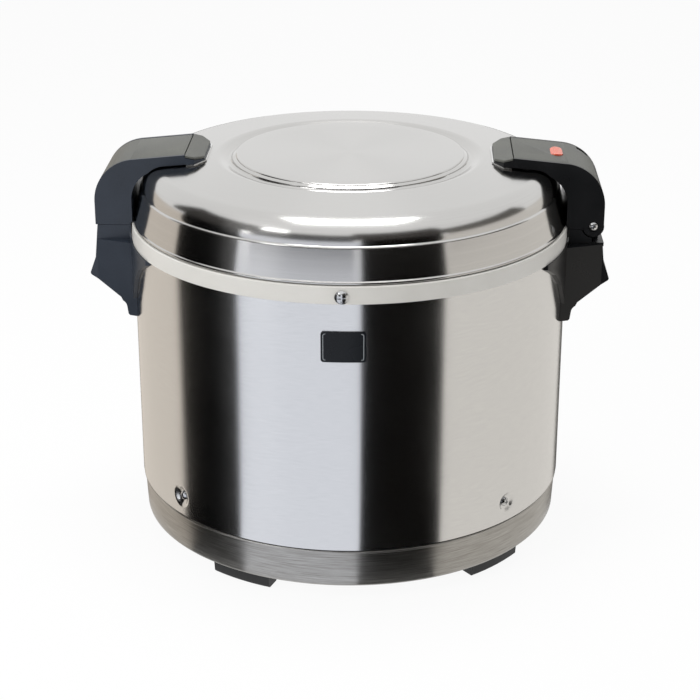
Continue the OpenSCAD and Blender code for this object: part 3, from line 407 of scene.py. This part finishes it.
def lid_profile(t):
    """Section of the lid from its middle to its rim, moved inward by t."""
    shoulder_fall = 16.9 * MM
    shoulder_in = 16.9 * MM
    slope = math.radians(5.4)
    crease_r = rim_r - 7.4 * MM
    z_crease = z_rim + 27.6 * MM
    shoulder_r = crease_r - shoulder_in
    z_shoulder = z_crease + shoulder_fall
    groove_r = 105.5 * MM
    disc_r = 90 * MM
    z_edge = z_shoulder + (shoulder_r - groove_r) * math.tan(slope)
    z_groove = z_edge - 3.4 * MM
    lean = Vector((math.sin(slope), math.cos(slope)))
    chord = Vector((shoulder_in, -shoulder_fall))
    turn_r = chord.dot(chord) / (-2 * chord.dot(lean))
    centre = Vector((shoulder_r, z_shoulder)) - turn_r * lean
    end = math.degrees(math.atan2(z_crease - centre.y, crease_r - centre.x))
    return (
        [(0, z_disc - t)]
        + [(disc_r * k / 5, z_disc - t) for k in (1, 2, 3, 4)]
        + arc(disc_r - 1.5 * MM, z_disc - 1.5 * MM, 1.5 * MM - t / 2, 90, 12, 8)
        + arc(disc_r + 5.5 * MM, z_groove + 3.2 * MM, 3.2 * MM + t, 192, 290, 14)
        + arc(groove_r, z_edge - 12 * MM, 12 * MM - t, 110, 90 - 5.4, 12)
        + arc(centre.x, centre.y, turn_r - t, 90 - 5.4, end, 40)
        + arc(crease_r - 1.2 * MM, z_crease - 3.2 * MM, 2.9 * MM - t, 66, 14, 10)
        + [(rim_r - 1.1 * MM - t, z_rim + 2.7 * MM)]
        + arc(rim_r - 1.2 * MM, z_rim + 1.2 * MM, 1.2 * MM - t, 60, -90, 10)
    )


sheet_t = 1 * MM
lid_mesh = lathe("lid_spun", lid_profile(0) + lid_profile(sheet_t * 0.98)[::-1], 384, 24)
new_piece("lid_spun", lid_mesh, lid_steel, "lid", "spun_steel", "lid_shell")


# ---------- drum: smooth sheet with pressed dimples ----------

def between(start, end, step):
    """Evenly spaced values from start to end, about step apart."""
    count = max(1, round((end - start) / step))
    return [start + (end - start) * i / count for i in range(count + 1)]


# Where the dimples sit, in degrees counted from the front towards +X.
dimple_turns = (-48, 47, 132, 227)
dimple_z = (screw_low.z + screw_high.z) / 2


def drum_shell():
    """The drum's sheet, finely divided round each pressed dimple.

    It is whole all round: neither the cord inlet's hole nor the screw holes are cut in it.
    """
    coarse_turn = 2.5
    fine_turn = 0.14
    reach = 11 * MM
    depth = 2.5 * MM
    flat_r = 3.9 * MM
    edge_r = 9.6 * MM
    sheet = 1 * MM
    reach_turn = math.degrees(reach / body_r)
    turns = set(round(t, 4) for t in between(-180, 180 - coarse_turn, coarse_turn))
    places = [(t + 180) % 360 - 180 for t in dimple_turns]
    for place in places:
        turns = {t for t in turns if abs(t - place) > reach_turn}
        turns |= set(round(t, 4) for t in between(place - reach_turn, place + reach_turn, fine_turn))
    turns = sorted(turns)
    heights = sorted(
        set(between(shell_low.z, dimple_z - reach, 4 * MM))
        | set(between(dimple_z - reach, dimple_z + reach, 0.45 * MM))
        | set(between(dimple_z + reach, shell_high.z, 8 * MM)))
    mesh = bpy.data.meshes.new("drum_sheet")
    bm = bmesh.new()
    rows = []
    for z in heights:
        row = []
        for turn in turns:
            inward = 0
            for place in places:
                along = math.radians(turn - place) * body_r
                gap = math.hypot(along, z - dimple_z)
                share = min(1, max(0, (edge_r - gap) / (edge_r - flat_r)))
                inward = max(inward, depth * share * share * (3 - 2 * share))
            angle = math.radians(turn)
            r = body_r - inward
            row.append(bm.verts.new((r * math.sin(angle), -r * math.cos(angle), z)))
        rows.append(row)
    for edge, z in ((rows[0], shell_low.z), (rows[-1], shell_high.z)):
        inner = []
        for vert in edge:
            out = Vector((vert.co.x, vert.co.y)).normalized() * (body_r - sheet)
            inner.append(bm.verts.new((out.x, out.y, z)))
        rows = [inner] + rows if edge is rows[0] else rows + [inner]
    for low, high in zip(rows, rows[1:]):
        for i in range(len(turns)):
            j = (i + 1) % len(turns)
            bm.faces.new((low[i], low[j], high[j], high[i]))
    bmesh.ops.recalc_face_normals(bm, faces=bm.faces)
    bm.to_mesh(mesh)
    bm.free()
    return smooth(mesh, 50)


new_piece("drum_sheet", drum_shell(), drum_steel, "root", "satin_steel", "outer_shell")


# ---------- collar and base ring, turned with rounded edges ----------

def collar_outline():
    """Section of the collar, with a soft lower lip and a rounded top edge."""
    top = collar_high.z
    low = collar_low.z
    mouth_r = body_r - 22.5 * MM
    ledge = top - 9.3 * MM
    wall = 2.2 * MM
    skirt = body_r + 0.1 * MM
    return (
        arc(collar_r - 0.5 * MM, low + 0.5 * MM, 0.5 * MM, -90, 0, 4)
        + [(collar_r - 0.7 * MM, top - 1.9 * MM)]
        + arc(collar_r - 1.9 * MM, top - 1.2 * MM, 1.2 * MM, 5, 90, 8)
        + arc(mouth_r + 1 * MM, top - 1 * MM, 1 * MM, 90, 180, 6)
        + [(mouth_r, ledge), (mouth_r - 4 * MM, ledge), (mouth_r - 4 * MM, ledge - wall),
           (mouth_r + wall, ledge - wall), (mouth_r + wall, top - wall), (skirt, top - wall), (skirt, low)]
    )


def base_ring_outline():
    """Section of the base ring: bright rolled lip on top, leaning wall, turned-in foot."""
    z0 = ring_low.z
    lip = shell_low.z - 1.2 * MM
    wall_r = body_r - 3.7 * MM
    t = 1.2 * MM
    top = ring_high.z
    return (
        [(body_r - 5.4 * MM, z0)]
        + arc(body_r - 4.9 * MM, z0 + 2.2 * MM, 2.2 * MM, -75, -8, 8)
        + [(body_r - 1.4 * MM, lip - 3.4 * MM), (body_r - 1.3 * MM, lip - 2.6 * MM)]
        + arc(body_r - 1.4 * MM, lip - 1.1 * MM, 1.1 * MM, -80, 90, 10)
        + [(wall_r, lip), (wall_r, top), (wall_r - 1.4 * MM, top), (wall_r - 1.4 * MM, lip - t),
           (body_r - 2.6 * MM, lip - 3.6 * MM), (body_r - 4.2 * MM, z0 + 3 * MM), (body_r - 6 * MM, z0 + t),
           (body_r - 25 * MM, z0 + t), (body_r - 25 * MM, z0)]
    )


new_piece("collar_moulding", lathe("collar_moulding", collar_outline(), 320, 40), collar_plastic, "root",
          "collar_plastic", "top_collar")
new_piece("base_band", lathe("base_band", base_ring_outline(), 320, 40), ring_steel, "root",
          "brushed_steel", "base_ring")


# ---------- badge: pale printed line round the bare plate ----------

def badge_line():
    """A closed line a little inside the badge's edge, lying on its curved face."""
    low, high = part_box("badge_plate")
    inset = 1.5 * MM
    width = 0.45 * MM
    corner = 1.6 * MM
    half_w = (high.x - low.x) / 2 - inset
    half_h = (high.z - low.z) / 2 - inset
    middle = (low + high) / 2
    face_r = -low.y + 0.03 * MM
    loops = []
    for grow in (0, width):
        loop = []
        for cx, cz, start in ((1, 1, 0), (-1, 1, 90), (-1, -1, 180), (1, -1, 270)):
            centre_x = cx * (half_w - corner)
            centre_z = cz * (half_h - corner)
            loop += arc(centre_x, centre_z, corner - grow, start, start + 90, 6)
        loops.append(loop)
    mesh = bpy.data.meshes.new("badge_line")
    bm = bmesh.new()
    rings = []
    for loop in loops:
        ring = []
        for x, z in loop:
            at = middle.x + x
            ring.append(bm.verts.new((at, -math.sqrt(face_r ** 2 - at ** 2), middle.z + z)))
        rings.append(ring)
    outer, inner = rings
    for i in range(len(outer)):
        j = (i + 1) % len(outer)
        bm.faces.new((outer[i], outer[j], inner[j], inner[i]))
    bm.to_mesh(mesh)
    bm.free()
    return mesh


pale_ink = moulded("pale_grey_print", "#8d9296", "#a2a7ab", 0.5, 0.6, 0.002)
new_piece("badge_line", badge_line(), pale_ink, "root", None)


# ---------- handle mouldings with eased edges ----------

def eased(node_name, made, body, slot, width_mm):
    """A moulding's CAD mesh with its sharp edges rounded, as a moulded part has them."""
    weld = 0.002 * MM
    flat_within = math.radians(1.2)
    sharp_above = math.radians(28)
    mesh = nodes[node_name].data.copy()
    bm = bmesh.new()
    bm.from_mesh(mesh)
    bmesh.ops.remove_doubles(bm, verts=bm.verts, dist=weld)
    bmesh.ops.dissolve_limit(bm, angle_limit=flat_within, verts=bm.verts, edges=bm.edges)
    bm.to_mesh(mesh)
    bm.free()
    name = node_name + "_eased"
    mesh.name = name
    piece = new_piece(name, mesh, made, body, slot, node_name)
    bevel = piece.modifiers.new("ease", "BEVEL")
    bevel.width = width_mm * MM
    bevel.segments = 3
    bevel.limit_method = "ANGLE"
    bevel.angle_limit = sharp_above
    bevel.use_clamp_overlap = True
    return piece


# Left handle mouldings: black phenolic painted lighter and bluer, as painted light.
eased("left_arm", slate_plastic, "lid", "slate_plastic", 0.9)
eased("right_arm", black_plastic, "lid", "black_plastic", 0.9)
eased("left_lower_grip", slate_plastic, "root", "slate_plastic", 0.9)
eased("right_lower_grip", black_plastic, "root", "black_plastic", 0.9)
eased("nose_caps", grey_plastic, "lid", "grey_plastic", 0.8)
eased("right_top_panel", grey_plastic, "lid", "grey_plastic", 0.7)
eased("release_plate", grey_plastic, "latch", "grey_plastic", 0.7)


# ---------- stage: floor, surround, lamps, camera ----------

def floor():
    """Pale seamless floor that keeps the object's shadow."""
    span = 60
    drop = 0.2 * MM
    glow_share = 0.92
    bpy.ops.mesh.primitive_plane_add(size=span, location=(0, 0, -drop))
    plane = bpy.context.object
    plane.name = "floor"
    made, tree, surface = material("paper_floor")
    share = add(tree, "ShaderNodeMath", {"operation": "MULTIPLY", 1: glow_share}, i0=seen_rays(tree))
    paper = add(tree, "ShaderNodeBsdfDiffuse", {"Color": linear("#f6f6f6")})
    glow = add(tree, "ShaderNodeEmission", {"Color": (1, 1, 1, 1), "Strength": 1.0})
    mixed = add(tree, "ShaderNodeMixShader", {}, Fac=share.outputs["Value"],
                i1=paper.outputs["BSDF"], i2=glow.outputs["Emission"])
    tree.links.new(mixed.outputs["Shader"], surface)
    plane.data.materials.append(made)


def surround():
    """Panels round the set that only polished surfaces see: white, black and grey uprights."""
    low_z = 0.6 * MM
    foot_r = 0.178
    reach = 1.15
    # Each floor panel starts at the drum's foot and runs out along the way the drum reflects it.
    # From and to in degrees, counted from the front towards +X; colour, light; bottom and top in metres.
    panels = [
        (-180, -164, "#3a3835", 1.0, low_z, 0.25),
        (-164, -99, "#e3dacf", 1.0, low_z, 0.5),
        (-99, -58, "#020202", 1.0, low_z, 0.6),
        (-58, 8, "#eff2fa", 1.05, low_z, 0.45),
        (8, 52, "#040302", 1.0, low_z, 0.6),
        (52, 158, "#e9e5df", 1.0, low_z, 0.5),
        (158, 180, "#3a3835", 1.0, low_z, 0.25),
        (-112, -52, "#3d3b39", 1.0, 0.6, 1.4),
        (-52, 4, "#4c4c4c", 1.0, 0.45, 1.1),
        (4, 56, "#3f3c39", 1.0, 0.6, 1.4),
        (56, 112, "#5c5955", 1.0, 0.5, 1.0),
    ]
    for k, (start, end, code, light, bottom, top) in enumerate(panels):
        mesh = bpy.data.meshes.new("panel_%d" % k)
        bm = bmesh.new()
        steps = max(4, int((end - start) / 3))
        turns = [math.radians(start + (end - start) * i / steps) for i in range(steps + 1)]
        near = [(foot_r * math.sin(t / 2), -foot_r * math.cos(t / 2)) for t in turns]
        far = [(x + reach * math.sin(t), y - reach * math.cos(t)) for t, (x, y) in zip(turns, near)]
        rows = [(far, bottom), (far, top)]
        if bottom == low_z:
            rows = [(near, low_z)] + rows
        grid = [[bm.verts.new((x, y, z)) for x, y in row] for row, z in rows]
        for low, high in zip(grid, grid[1:]):
            for i in range(steps):
                bm.faces.new((low[i], low[i + 1], high[i + 1], high[i]))
        bm.to_mesh(mesh)
        bm.free()
        made, tree, surface = material("panel_paint_%d" % k)
        glow = add(tree, "ShaderNodeEmission", {"Color": linear(code), "Strength": light})
        tree.links.new(glow.outputs["Emission"], surface)
        mesh.materials.append(made)
        panel = bpy.data.objects.new("panel_%d" % k, mesh)
        bpy.context.scene.collection.objects.link(panel)
        panel.visible_camera = False
        panel.visible_diffuse = False
        panel.visible_transmission = False
        panel.visible_shadow = False


def lamp(name, place, aim, size, power):
    """A soft box at place, turned towards aim."""
    data = bpy.data.lights.new(name, "AREA")
    data.shape = "RECTANGLE"
    data.size, data.size_y = size
    data.energy = power
    light = bpy.data.objects.new(name, data)
    bpy.context.scene.collection.objects.link(light)
    light.location = place
    light.rotation_euler = (Vector(aim) - Vector(place)).to_track_quat("-Z", "Y").to_euler()
    light.visible_camera = False
    return light


def camera():
    """Long lens a little to the right of the front, looking down on the lid."""
    turn = math.radians(2.0)
    pitch = math.radians(22.01)
    distance = 1.4
    height = 0.7039
    data = bpy.data.cameras.new("camera")
    data.lens = 94.38
    data.sensor_width = 36
    eye = bpy.data.objects.new("camera", data)
    bpy.context.scene.collection.objects.link(eye)
    eye.location = (distance * math.sin(turn), -distance * math.cos(turn), height)
    eye.rotation_euler = (math.pi / 2 - pitch, 0, turn)
    bpy.context.scene.camera = eye


def world():
    """White surroundings at a plain level, shown at full white to the eye and to metal."""
    made = bpy.data.worlds.new("studio")
    made.use_nodes = True
    tree = made.node_tree
    tree.nodes.clear()
    level = add(tree, "ShaderNodeMapRange", {"To Min": 0.55, "To Max": 1.0}, Value=seen_rays(tree))
    sky = add(tree, "ShaderNodeBackground", {"Color": (1, 1, 1, 1)}, Strength=level.outputs["Result"])
    output = tree.nodes.new("ShaderNodeOutputWorld")
    tree.links.new(sky.outputs["Background"], output.inputs["Surface"])
    bpy.context.scene.world = made


floor()
surround()
lamp("top_box", (0, 0.1, 1.5), (0, 0, 0.2), (0.7, 0.5), 9)
lamp("left_box", (-1.3, -1.1, 1.1), (0, 0, 0.15), (0.9, 0.9), 12)
camera()
world()
bpy.context.scene.view_settings.view_transform = "Standard"
